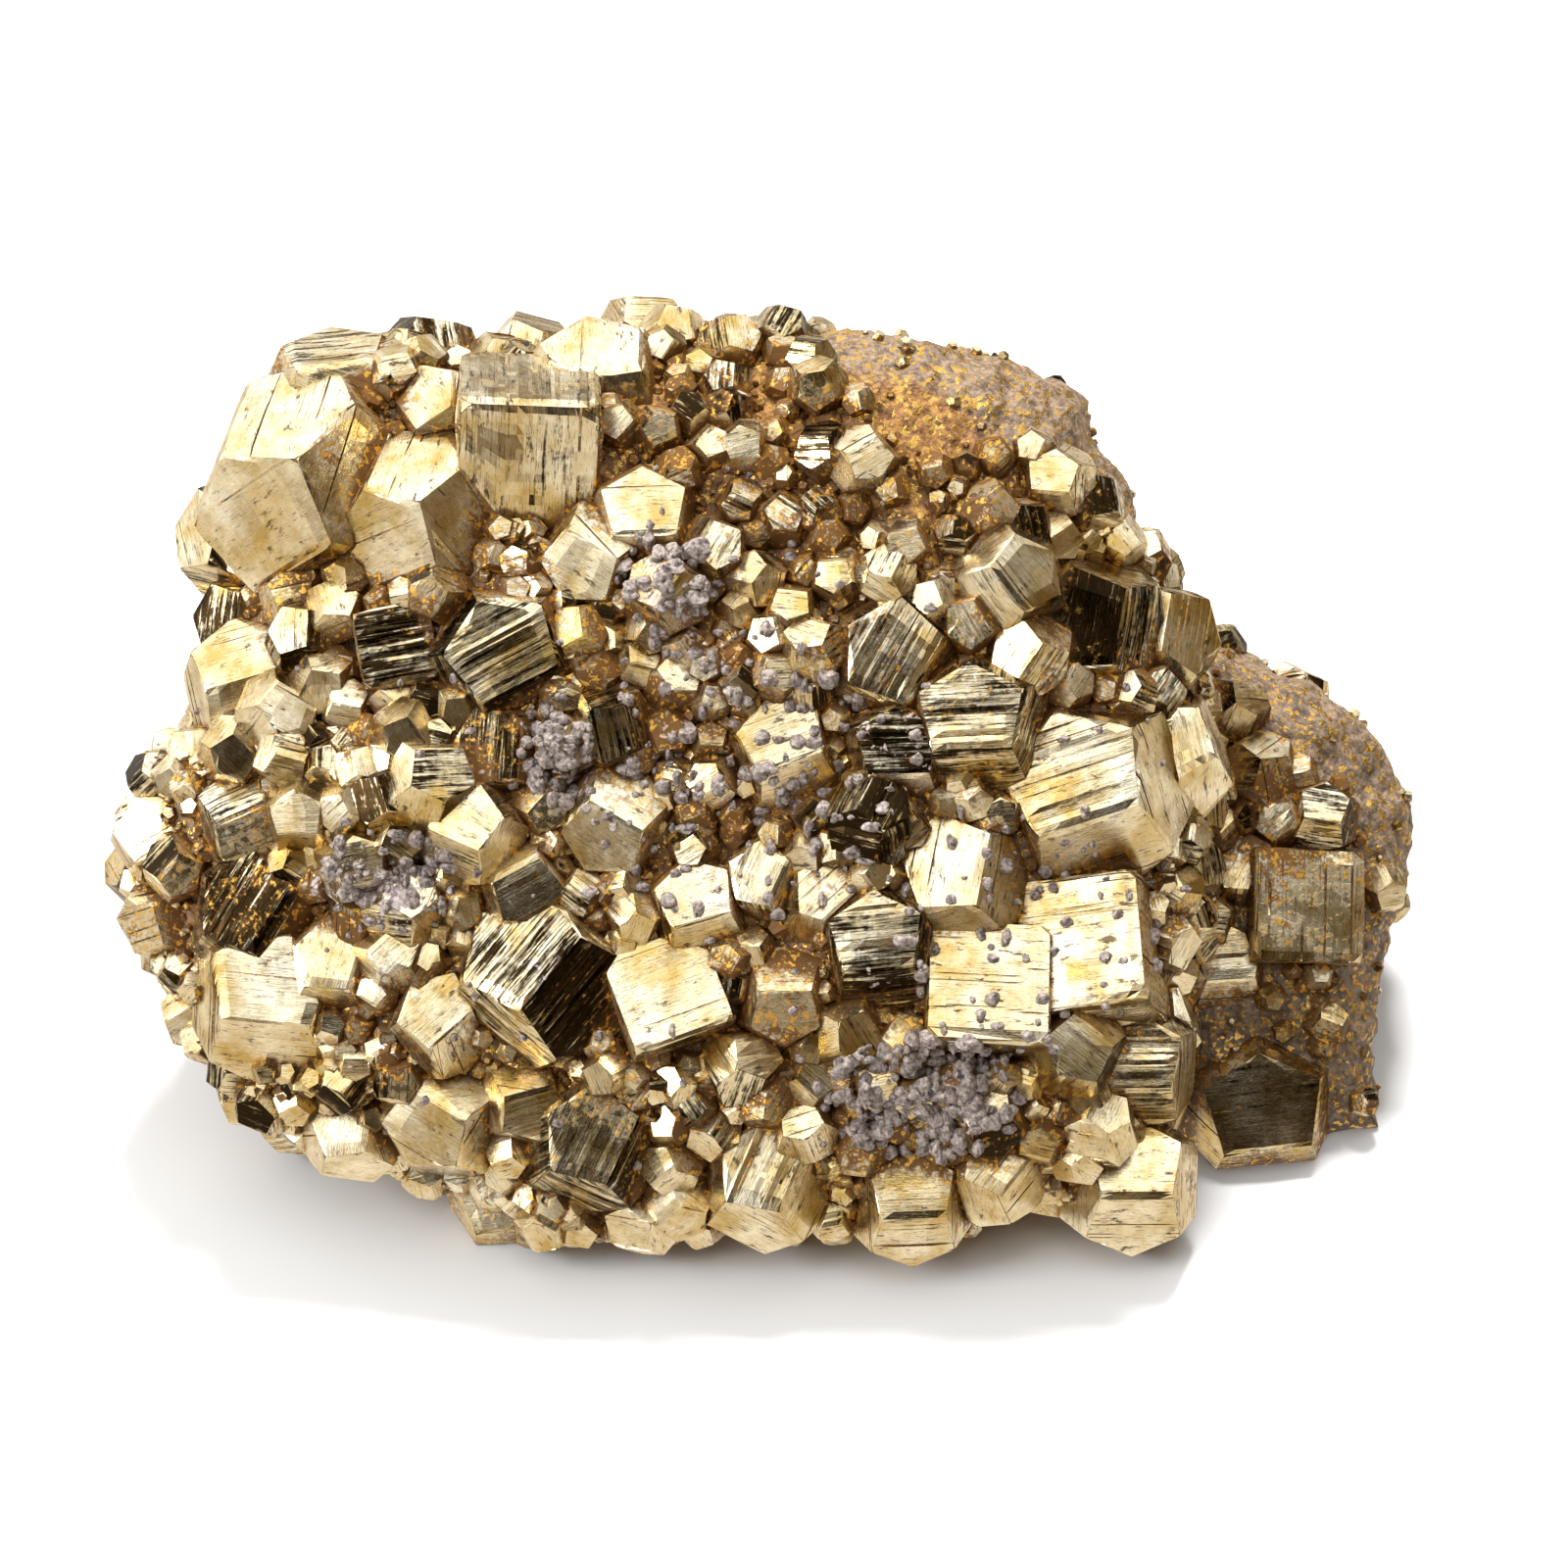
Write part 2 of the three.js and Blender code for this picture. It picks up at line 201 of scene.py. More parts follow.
def stand(points):
    """From the flat layout (across, up, out) in millimetres to the frame in metres."""
    return (np.asarray(points, float) @ LAYOUT + ORIGIN) * MM


def lay_flat(points):
    return (np.asarray(points, float) / MM - ORIGIN) @ LAYOUT.T


def crevice(points):
    """1 down at the rock's front surface, falling to 0 at 3 mm above it."""
    across, up, out = lay_flat(points).T
    front = rock_front(across, up)
    above = out - np.where(np.isfinite(front), front, out - 3)
    return np.clip(1 - (above - 0.3) / 2.7, 0, 1)


# Patches of nodules: across, up, half width, half height, how many, smallest and largest radius
NODULES = {
    "galena_left": (-33.0, -8.3, 5.6, 5.2, 70, 0.25, 0.8),
    "galena_centre": (-18.6, 3.2, 3.2, 5.0, 80, 0.30, 0.85),
    "galena_lower": (13.2, -26.8, 9.2, 5.6, 200, 0.30, 0.9),
    "galena_top": (-9.0, 18.0, 4.6, 4.0, 44, 0.35, 1.0),
    "galena_middle": (-2.0, 2.0, 15.0, 14.0, 150, 0.25, 0.8),
    "galena_right": (22.0, -12.0, 13.0, 11.0, 60, 0.25, 0.7),
    "galena_rest": (-8.0, -2.0, 46.0, 32.0, 90, 0.20, 0.55),
}


def crust(points):
    """Grey crust round the patches of nodules: 0.55 in the middle of a patch, falling to 0."""
    across, up, out = lay_flat(points).T
    most = np.zeros(len(points))
    for at_across, at_up, half_w, half_h, count, *_ in NODULES.values():
        crowd = min(1, 0.9 * count / (half_w * half_h) / 2.2)
        far = ((across - at_across) / half_w) ** 2 + ((up - at_up) / half_h) ** 2
        most = np.maximum(most, (0.2 + 0.35 * crowd) * np.exp(-0.6 * far))
    return most * (out > -6)


# ---------------------------------------------------------------- meshes


def new_object(name, points, faces, material, attributes=None):
    """An object at the origin from points in metres, faces and {attribute: value per point}."""
    mesh = bpy.data.meshes.new(name)
    mesh.from_pydata(np.asarray(points).tolist(), [], faces)
    for key, values in (attributes or {}).items():
        values = np.asarray(values, float)
        kind = "FLOAT_VECTOR" if values.ndim == 2 else "FLOAT"
        layer = mesh.attributes.new(key, kind, "POINT")
        layer.data.foreach_set("vector" if values.ndim == 2 else "value", values.ravel())
    mesh.materials.append(material)
    mesh.update()
    obj = bpy.data.objects.new(name, mesh)
    bpy.context.scene.collection.objects.link(obj)
    return obj


class Shells:
    """Closed shells gathered into one mesh, with their attributes."""

    def __init__(self):
        self.points, self.faces, self.extra, self.count = [], [], {}, 0

    def add(self, points, faces, **extra):
        n = len(points)
        self.points.append(points)
        self.faces.extend((np.asarray(f) + self.count).tolist() for f in faces)
        for key, value in extra.items():
            value = np.asarray(value, float)
            if value.ndim == 0:
                value = np.full(n, float(value))
            self.extra.setdefault(key, []).append(value)
        self.count += n

    def build(self, name, material):
        extra = {key: np.concatenate(values) for key, values in self.extra.items()}
        points = np.concatenate(self.points) * MM
        extra.update(crevice=crevice(points), crust=crust(points))
        return new_object(name, points, self.faces, material, extra)


# ---------------------------------------------------------------- crystals


def pyritohedron_faces():
    """The 12 five-sided faces, 3 units across, as (12, 5, 3), the first side being the long one.

    Corners are (1, 1, 1) with every sign, and (0, 1.5, 0.75) with every sign in cyclic order.
    """
    faces = []
    for turn in range(3):
        for a in (-1, 1):
            for b in (-1, 1):
                ring = np.array([
                    [0, 1.5 * a, -0.75], [0, 1.5 * a, 0.75], [b, a, 1],
                    [1.5 * b, 0.75 * a, 0], [b, a, -1],
                ])  # fmt: skip
                ring = np.roll(ring, turn, axis=1)
                normal = np.cross(ring[1] - ring[0], ring[2] - ring[1])
                faces.append(ring if normal @ ring.mean(0) > 0 else ring[[1, 0, 4, 3, 2]])
    return np.array(faces)


PYRITOHEDRON = pyritohedron_faces()


# Striated faces, in millimetres unless they say otherwise
GROOVE_SHARE = 0.12  # of the strips
GROOVE_WIDTH = 0.22  # as a share of the widest strip
GROOVE_DEPTH = 0.05
DEEPEST_STRIP = 0.06
BORDER_RISE = 0.02
SWELL = 0.01  # as a share of the face's width
PLATE_TAPER = 0.9  # the plate's underside, as a share of its face
PLATE_DEPTH = 0.06  # how far it reaches into its crystal, as a share of the crystal's size
CORE_SIZE = 0.985  # the plain core, as a share of the crystal
SMALLEST_FACE = 0.25  # from its middle to its farthest corner
BURIED_COSINE = -0.35  # faces turned farther than this from keep have no plate


def polygon_rows(flat, rows):
    """Where each row b = constant enters and leaves a convex polygon of (a, b) corners."""
    nxt = np.roll(flat, -1, axis=0)
    rise = nxt[:, 1] - flat[:, 1]
    rise = np.where(np.abs(rise) < 1e-9, 1e-9, rise)
    t = (rows[:, None] - flat[:, 1]) / rise
    a = flat[:, 0] + t * (nxt[:, 0] - flat[:, 0])
    inside = (t >= -1e-6) & (t <= 1 + 1e-6)
    return np.where(inside, a, np.inf).min(1), np.where(inside, a, -np.inf).max(1)


def striated_plate(corners, normal, grain, pitch, relief, tilt, sink, columns, rng):
    """One crystal face as a closed plate, ruled along the grain.

    Rows lie at b = constant, two to a strip, so strips meet in small steps. The height is
    relief * floor(3 * noise(a / 5, b)) / 3, plus a gentle swell, plus each strip's own tilt, which
    comes and goes along it. Some strips are narrow grooves. Returns the points, the faces, and
    (a, b, a number for the face) at each point.
    """
    grain = unit(grain - normal * (grain @ normal))
    side = np.cross(normal, grain)
    middle = corners.mean(0)
    flat = np.stack([(corners - middle) @ grain, (corners - middle) @ side], axis=1)
    low, high = flat[:, 1].min() + 1e-4, flat[:, 1].max() - 1e-4
    strips = max(3, int((high - low) / pitch))
    widths = rng.random(strips) ** 1.6 + 0.18
    groove = rng.random(strips) < GROOVE_SHARE
    groove[[0, -1]] = False
    widths = np.where(groove, GROOVE_WIDTH, widths)
    edges = low + (high - low) * np.concatenate([[0], np.cumsum(widths)]) / widths.sum()
    enter, leave = polygon_rows(flat, edges)
    share = np.linspace(0, 1, columns + 1)
    uneven = rng.uniform(-0.4, 0.4, columns - 1) / columns
    share = np.sort(np.clip(share + np.r_[0, uneven, 0], 0, 1))
    a = enter[:, None] + (leave - enter)[:, None] * share
    b = np.repeat(edges[:, None], columns + 1, axis=1)

    mid = (edges[:-1] + edges[1:]) / 2
    strip_a = (a[:-1] + a[1:]) / 2
    strip_b = np.repeat(mid[:, None], columns + 1, axis=1)
    middles = np.stack([strip_a, strip_b, np.zeros_like(strip_a)], axis=-1).reshape(-1, 3)
    cells = middles * [0.2, 1, 1]
    seed = int(rng.integers(1e6))
    height = smooth_noise(cells, 1.3 * pitch**0.5, seed)
    height = height + 0.6 * smooth_noise(cells, 0.45 * pitch**0.5, seed + 1)
    height = relief * np.floor(3 * (height.reshape(strips, -1) * 0.5 + 0.5)) / 3
    swell = SWELL * np.hypot(*np.ptp(flat, axis=0))
    height = height + swell * (1 + smooth_noise(middles, 3.5, seed + 2).reshape(strips, -1))
    strong = np.clip(0.55 + 1.1 * smooth_noise(cells, 1.1, seed + 3).reshape(strips, -1), 0.05, 1.3)
    lean = rng.normal(0, tilt, strips)[:, None] * strong * (edges[1:] - edges[:-1])[:, None] / 2
    height = np.where(groove[:, None] & (strong > 0.5), -GROOVE_DEPTH, height)
    rows_a = np.stack([a[:-1], a[1:]], axis=1).reshape(2 * strips, -1)
    rows_b = np.stack([b[:-1], b[1:]], axis=1).reshape(2 * strips, -1)
    rows_h = np.stack([height - lean, height + lean], axis=1).reshape(2 * strips, -1)
    rows_h = np.maximum(rows_h, -DEEPEST_STRIP)
    rows_h[[0, -1]] = 0
    rows_h[:, [0, -1]] = np.minimum(rows_h[:, [0, -1]], BORDER_RISE)

    top = middle + rows_a[..., None] * grain + rows_b[..., None] * side + rows_h[..., None] * normal
    rows, cols = rows_a.shape
    index = np.arange(rows * cols).reshape(rows, cols)
    quads = np.stack([index[:-1, :-1], index[:-1, 1:], index[1:, 1:], index[1:, :-1]], axis=-1)
    ring = np.concatenate([index[0, :-1], index[:-1, -1], index[-1, :0:-1], index[:0:-1, 0]])
    below = rows * cols + np.arange(len(ring))
    walls = np.stack([np.roll(ring, -1), ring, below, np.roll(below, -1)], axis=1)
    top = top.reshape(-1, 3)
    ring_flat = middle + rows_a.ravel()[ring, None] * grain + rows_b.ravel()[ring, None] * side
    bottom = middle + (ring_flat - middle) * PLATE_TAPER - sink * normal
    points = np.concatenate([top, bottom])
    faces = [*quads.reshape(-1, 4), *walls, below[::-1]]
    along = np.stack([rows_a.ravel(), rows_b.ravel(), np.full(rows * cols, rng.uniform(0, 99))], axis=1)
    return points, faces, np.concatenate([along, along[ring]])


# Painted shade with some stain: faces turned to this side, right and a little down, get more tarnish and
# rust, as if they lay in shade.
SHADE_AND_STAIN_SIDE = unit(0.9 * ACROSS - 0.15 * UP)  # faces turned this way are browner


def crystal_shells(shells, polygons, middle, look, rng, keep=None, ruled=None):
    """Adds one crystal: a core just under its faces, and a striated plate on each face.

    Faces are ruled along their longest side, or along the side nearest to ruled. The core closes
    the crystal where faces turned away from keep, down in the rock, have no plate.
    """
    size = np.ptp(np.concatenate(polygons), axis=0).max()
    for corners in polygons:
        normal = unit(np.cross(corners[1] - corners[0], corners[2] - corners[1]))
        if keep is not None and normal @ keep < BURIED_COSINE:
            continue
        sides = np.roll(corners, -1, axis=0) - corners
        lengths = np.linalg.norm(sides, axis=1)
        if ruled is None:
            grain = unit(sides[lengths.argmax()])
        else:
            grain = unit(sides[np.abs(unit(sides) @ ruled).argmax()])
        span = np.linalg.norm(corners - corners.mean(0), axis=1).max()
        if span < SMALLEST_FACE:
            continue
        pitch = look["pitch"] * rng.uniform(0.7, 1.5)
        wild = rng.random() < look["wild"]
        relief = look["relief"] * (rng.uniform(0.7, 1.3) if wild else rng.uniform(0.1, 0.4))
        tilt = look["tilt"] * (rng.uniform(0.8, 1.5) if wild else rng.uniform(0.05, 0.3))
        columns = int(np.clip(span * 1.5, 3, 14))
        points, faces, along = striated_plate(
            corners, normal, grain, pitch, relief, tilt, PLATE_DEPTH * size, columns, rng
        )
        # Painted shade: faces turned to the shaded side get a darker tarnish and more brown stain.
        turned_to_shade = np.clip(normal @ SHADE_AND_STAIN_SIDE - 0.25, 0, 1)
        tone = np.clip(look["tone"] + 0.25 * turned_to_shade + rng.normal(0, look["spread"]), 0, 1)
        stain = np.clip(look["stain"] + 0.35 * turned_to_shade + rng.normal(0, 0.12), 0, 1)
        shells.add(points, faces, grain=along, tone=tone, stain=stain)
    for corners in polygons:
        n = len(corners)
        ring = np.arange(n)
        points = np.concatenate([middle + (corners - middle) * CORE_SIZE, [middle]])
        sides = np.stack([np.roll(ring, -1), ring, np.full(n, n)], axis=1)
        plain = dict(grain=np.zeros((n + 1, 3)), tone=look["tone"], stain=look["stain"])
        shells.add(points, [ring, *sides], **plain)


def hull_polygons(obj):
    """The flat faces of a solid's convex hull, as arrays of corners in millimetres."""
    bm = bmesh.new()
    for p in {tuple(np.round(np.array(v.co) / MM, 3)) for v in obj.data.vertices}:
        bm.verts.new(p)
    bmesh.ops.convex_hull(bm, input=bm.verts)
    bmesh.ops.delete(bm, geom=[v for v in bm.verts if not v.link_faces], context="VERTS")
    bmesh.ops.dissolve_limit(bm, angle_limit=math.radians(2.5), verts=bm.verts, edges=bm.edges)
    polygons = [np.array([v.co[:] for v in f.verts]) for f in bm.faces]
    bm.free()
    return polygons


# ---------------------------------------------------------------- materials


def rgb(text):
    """A linear colour from the usual six-figure screen colour."""
    screen = np.array([int(text[i : i + 2], 16) / 255 for i in (0, 2, 4)])
    linear = np.where(screen <= 0.04045, screen / 12.92, ((screen + 0.055) / 1.055) ** 2.4)
    return (*linear.tolist(), 1.0)


def per_metre(size):
    """How often a pattern of this size in millimetres repeats in a metre."""
    return 1 / (size * MM)


def plug(tree, socket, value):
    """Links an output to a socket, or sets the socket to a plain value."""
    if isinstance(value, bpy.types.NodeSocket):
        tree.links.new(value, socket)
    else:
        socket.default_value = value


def add_node(tree, kind, inputs=None, out=0, stops=(), **settings):
    """Adds a node and returns one of its outputs.

    inputs holds a link or a value for each socket, by name or number. stops are a ramp's two ends,
    each its place and its grey or colour. settings are the node's own properties.
    """
    node = tree.nodes.new("ShaderNode" + kind)
    for name, value in settings.items():
        setattr(node, name, value)
    for end, (place, colour) in enumerate(stops):
        element = node.color_ramp.elements[end]
        element.position = place
        element.color = colour if isinstance(colour, tuple) else (colour, colour, colour, 1)
    for name, value in (inputs or {}).items():
        plug(tree, node.inputs[name], value)
    return node.outputs[out]


def total(add, start, *parts):
    """start plus each part, a (pattern, weight), as the pattern times its weight."""
    for pattern, weight in parts:
        start = add("Math", {0: pattern, 1: weight, 2: start}, operation="MULTIPLY_ADD")
    return start


def new_material(name):
    """A material, and the function that adds a node to it."""
    material = bpy.data.materials.new(name)
    material.use_nodes = True
    return material, partial(add_node, material.node_tree)


def finish_material(material, **inputs):
    """Sets or links the surface's own sockets, whose names have _ for a space."""
    tree = material.node_tree
    for name, value in inputs.items():
        plug(tree, tree.nodes["Principled BSDF"].inputs[name.replace("_", " ")], value)
    return material


def pyrite_material():
    """Pyrite: a pale brass metal, tarnished olive-black in places, with rusty iron stains.

    Brown dirt and gold dust lie where crystals meet, and a grey crust round the galena. The dirt is
    partly painted shade: it thickens low on the crystals, near the rock, and where ambient occlusion
    finds a hollow. Etched dark lines and pits follow the grain, which is (along, across, a number
    for the face) in millimetres. Patterns average 0.5, so half of their weights is taken off again.
    """
    material, add = new_material("pyrite")
    where = add("TexCoord", out="Object")
    grain = add("Attribute", out="Vector", attribute_name="grain")
    tone, stain, crevice_share, crust_share = (
        add("Attribute", out="Fac", attribute_name=name) for name in ("tone", "stain", "crevice", "crust")
    )

    def ruled(long, wide, detail, rough=0.55):
        """Streaks along the grain, so many millimetres long and wide."""
        drawn_out = add("Mapping", {"Vector": grain, "Scale": (1 / long, 1 / wide, 1.0)})
        return add("TexNoise", {"Vector": drawn_out, "Scale": 1.0, "Detail": detail, "Roughness": rough})

    streaks = ruled(3.33, 0.2, 4.0, 0.6)
    fine = ruled(1.0, 0.0455, 2.0)
    patch = ruled(2.0, 0.77, 5.0, 0.7)
    bands = ruled(8.33, 0.588, 2.0)
    blotch = add("TexNoise", {"Vector": where, "Scale": per_metre(5.263), "Detail": 5.0, "Roughness": 0.65})
    specks = add("TexNoise", {"Vector": where, "Scale": per_metre(0.6667), "Detail": 3.0, "Roughness": 0.6})

    paler = add("ValToRGB", {"Fac": blotch}, stops=((0.35, 0.0), (0.65, 1.0)))
    gold = add("Mix", {0: paler, 6: rgb("BCA060"), 7: rgb("EEE6CC")}, 2, data_type="RGBA")
    tarnish = total(add, tone, (1.0, -1.8), (streaks, 1.2), (blotch, 0.9), (specks, 0.5), (bands, 1.0))
    tarnished = add("ValToRGB", {"Fac": tarnish}, stops=((0.52, 0.0), (0.78, 1.0)))
    colour = add("Mix", {0: tarnished, 6: gold, 7: rgb("261C0E")}, 2, data_type="RGBA")
    etched = add("ValToRGB", {"Fac": total(add, fine, (patch, 0.6))}, stops=((0.65, 1.0), (0.69, 0.0)))
    pits = add("ValToRGB", {"Fac": patch}, stops=((0.35, 1.0), (0.39, 0.0)))
    etched, pits = total(add, 0.0, (etched, 0.8)), total(add, 0.0, (pits, 0.85))
    marks = add("Math", {0: etched, 1: pits}, operation="MAXIMUM")
    colour = add("Mix", {0: marks, 6: colour, 7: rgb("3A2716")}, 2, data_type="RGBA")

    # Painted shade: ambient occlusion and the crevice share (low on the crystals, near the rock) lay the
    # brown dirt colour into hollows and between crystals, where shade falls; stain, blotch and specks add
    # real rust.
    open_air = add("AmbientOcclusion", {"Distance": 5.5 * MM}, 1, samples=6)
    painted_hollow_shade = add("ValToRGB", {"Fac": open_air}, stops=((0.22, 1.0), (0.70, 0.0)))
    rust = total(add, stain, (1.0, -1.2), (blotch, 1.5), (specks, 0.9), (crevice_share, 0.45), (painted_hollow_shade, 0.62))
    rusty = add("ValToRGB", {"Fac": rust}, stops=((0.50, 0.0), (0.74, 1.0)))
    dust = add("ValToRGB", {"Fac": specks}, stops=((0.57, 0.0), (0.61, 1.0)))
    # This dirt colour paints both the real rust and the painted shade in the hollows.
    earth = add("Mix", {0: blotch, 6: rgb("3E2409"), 7: rgb("7A5424")}, 2, data_type="RGBA")
    dirt = add("Mix", {0: dust, 6: earth, 7: rgb("D6A850")}, 2, data_type="RGBA")
    colour = add("Mix", {0: rusty, 6: colour, 7: dirt}, 2, data_type="RGBA")

    crusting = total(add, crust_share, (1.0, -1.7), (blotch, 2.2), (specks, 1.2))
    crusted = add("ValToRGB", {"Fac": crusting}, stops=((0.60, 0.0), (0.74, 1.0)))
    sugary = add("ValToRGB", {"Fac": specks}, stops=((0.40, 0.0), (0.62, 1.0)))
    grey = add("Mix", {0: sugary, 6: rgb("4C4142"), 7: rgb("B5A8A4")}, 2, data_type="RGBA")
    colour = add("Mix", {0: crusted, 6: colour, 7: grey}, 2, data_type="RGBA")

    covered = add("Math", {0: rusty, 1: crusted}, operation="MAXIMUM")
    rough = total(add, 0.10, (blotch, 0.22), (marks, 0.25), (covered, 0.35))
    grit = add("Math", {0: specks, 1: rusty}, operation="MULTIPLY")
    height = total(add, 0.0, (streaks, 0.5), (fine, 0.3), (grit, 0.9))
    normal = add("Bump", {"Height": height, "Distance": 0.06 * MM, "Strength": 0.6})
    earthy = add("Math", {0: rusty, 1: dust}, operation="SUBTRACT", use_clamp=True)
    dull = add("Math", {0: earthy, 1: crusted}, operation="MAXIMUM")
    metal = total(add, 1.0, (dull, -0.55))
    return finish_material(material, Base_Color=colour, Metallic=metal, Roughness=rough, Normal=normal)


def rock_material():
    """Granular pyrite matrix: brown-lilac grains, rusty in the hollows, with gold sparkles.

    The grains are drawn 0.4 mm wide, coarser than the real ones, so that they show.
    """
    material, add = new_material("granular_matrix")
    where = add("TexCoord", out="Object")
    stained = add("Attribute", out="Fac", attribute_name="rusty")
    coarse = add("TexNoise", {"Vector": where, "Scale": per_metre(8.333), "Detail": 5.0, "Roughness": 0.6})
    grit = add("TexNoise", {"Vector": where, "Scale": per_metre(0.7143), "Detail": 4.0, "Roughness": 0.7})
    grains_colour = add("TexVoronoi", {"Vector": where, "Scale": per_metre(0.3846)}, "Color", feature="F1")
    grain = add("SeparateColor", {"Color": grains_colour})

    paler = add("ValToRGB", {"Fac": grit}, stops=((0.38, 0.0), (0.62, 1.0)))
    lilac = add("Mix", {0: paler, 6: rgb("4A3B2E"), 7: rgb("7E6B57")}, 2, data_type="RGBA")
    brown = add("Mix", {0: paler, 6: rgb("4A2A0E"), 7: rgb("8E6636")}, 2, data_type="RGBA")
    rust = total(add, stained, (1.0, -0.6), (coarse, 1.2))
    rusty = add("ValToRGB", {"Fac": rust}, stops=((0.35, 0.0), (0.65, 1.0)))
    colour = add("Mix", {0: rusty, 6: lilac, 7: brown}, 2, data_type="RGBA")
    spark = add("ValToRGB", {"Fac": grain}, stops=((0.70, 0.0), (0.74, 1.0)))
    colour = add("Mix", {0: spark, 6: colour, 7: rgb("BC9650")}, 2, data_type="RGBA")
    rough = total(add, 0.62, (spark, -0.38))
    gritty = add("Bump", {"Height": grit, "Distance": 0.4 * MM, "Strength": 0.6})
    normal = add("Bump", {"Height": grain, "Distance": 0.35 * MM, "Strength": 0.7, "Normal": gritty})
    return finish_material(material, Base_Color=colour, Metallic=spark, Roughness=rough, Normal=normal)


def galena_material():
    """Galena: a grey-violet metal, dull and finely granular, so less metallic than a clean face."""
    material, add = new_material("galena")
    where = add("TexCoord", out="Object")
    grit = add("TexNoise", {"Vector": where, "Scale": per_metre(0.4545), "Detail": 4.0, "Roughness": 0.65})
    paler = add("ValToRGB", {"Fac": grit}, stops=((0.35, 0.0), (0.7, 1.0)))
    colour = add("Mix", {0: paler, 6: rgb("4C4240"), 7: rgb("AFA299")}, 2, data_type="RGBA")
    normal = add("Bump", {"Height": grit, "Distance": 0.25 * MM, "Strength": 0.8})
    return finish_material(material, Base_Color=colour, Metallic=0.35, Roughness=0.5, Normal=normal)


def floor_material():
    """Matt paper, just pale enough to come out white in this light."""
    material, _ = new_material("paper")
    return finish_material(material, Base_Color=rgb("BFBFBF"), Roughness=0.9)


PYRITE = pyrite_material()
ROCK = rock_material()
GALENA = galena_material()

# ---------------------------------------------------------------- large crystals

# pitch: between striations; relief: of their steps, in millimetres; tilt: of the strips; wild: the
# share of strongly striated faces; tone: of tarnish, give or take spread; stain: of rust
LOOKS = {
    "bright": dict(pitch=0.36, relief=0.12, tilt=0.16, wild=0.15, tone=0.12, spread=0.12, stain=0.16),
    "dark": dict(pitch=0.30, relief=0.14, tilt=0.22, wild=0.40, tone=0.62, spread=0.20, stain=0.16),
    "stained": dict(pitch=0.34, relief=0.14, tilt=0.16, wild=0.25, tone=0.40, spread=0.15, stain=0.46),
}
DARK = (
    "tall_centre black_upper slanted_upper roof_centre hatched_lower pentagon_black edge_left "
    "step_left cube_black column_centre diagonal_lower green_left pentagon_lower black_bottom"
).split()
WILD = (
    "striated_top tall_centre slanted_upper hatched_lower diagonal_lower striated_left striated_low"
).split()
WILD_TONE = 0.48  # dark enough for tarnished bands between bright ones
RULED = {"striated_top": UP, "block_right": ACROSS, "square_centre": ACROSS, "cube_black": ACROSS}
STAINED = "plate_top_left edge_low_left plate_bottom stained_rear brown_rear block_low_centre".split()

large = {}  # each large crystal's outward normals, and how far out its faces lie
for order, name in enumerate(sorted(n for n in NODES if n.startswith("crystal_"))):
    short = name.removeprefix("crystal_")
    kind = "dark" if short in DARK else "stained" if short in STAINED else "bright"
    polygons = hull_polygons(NODES[name])
    corners = np.concatenate(polygons)
    middle = (corners.min(0) + corners.max(0)) / 2
    shells = Shells()
    look = dict(LOOKS[kind])
    if short in WILD:
        look.update(wild=1.0, tone=max(look["tone"], WILD_TONE))
    crystal_shells(shells, polygons, middle, look, seeded(100 + order), ruled=RULED.get(short))
    piece = shells.build(short, PYRITE)
    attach(piece, "root")
    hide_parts(name)
    normals = unit(np.array([np.cross(p[1] - p[0], p[2] - p[1]) for p in polygons]))
    large[short] = (normals, np.array([n @ p[0] for n, p in zip(normals, polygons)]))


def depth_in_large(points):
    """How deep each point lies inside the nearest large crystal, in millimetres."""
    deepest = np.full(len(points), -99.0)
    for normals, offsets in large.values():
        deepest = np.maximum(deepest, (offsets - points @ normals.T).min(1))
    return deepest


# ---------------------------------------------------------------- the rock


BROKEN_RELIEF = 2.2  # at most, in millimetres


def rock_points(lump, turns, angles):
    """A lump's surface over turns from front (0) to back (pi) and angles round it."""
    turn, angle = np.meshgrid(turns, angles, indexing="ij")
    outward = reach(lump, angle) * np.abs(np.sin(turn)) ** LUMP_BOXINESS
    height = np.where(np.cos(turn) > 0, lump["bulge"], lump["depth"]) * np.cos(turn)
    return np.stack([
        lump["middle"][0] + outward * np.cos(angle),
        lump["middle"][1] + outward * np.sin(angle),
        lump["rim"] + height,
    ], axis=-1)  # fmt: skip


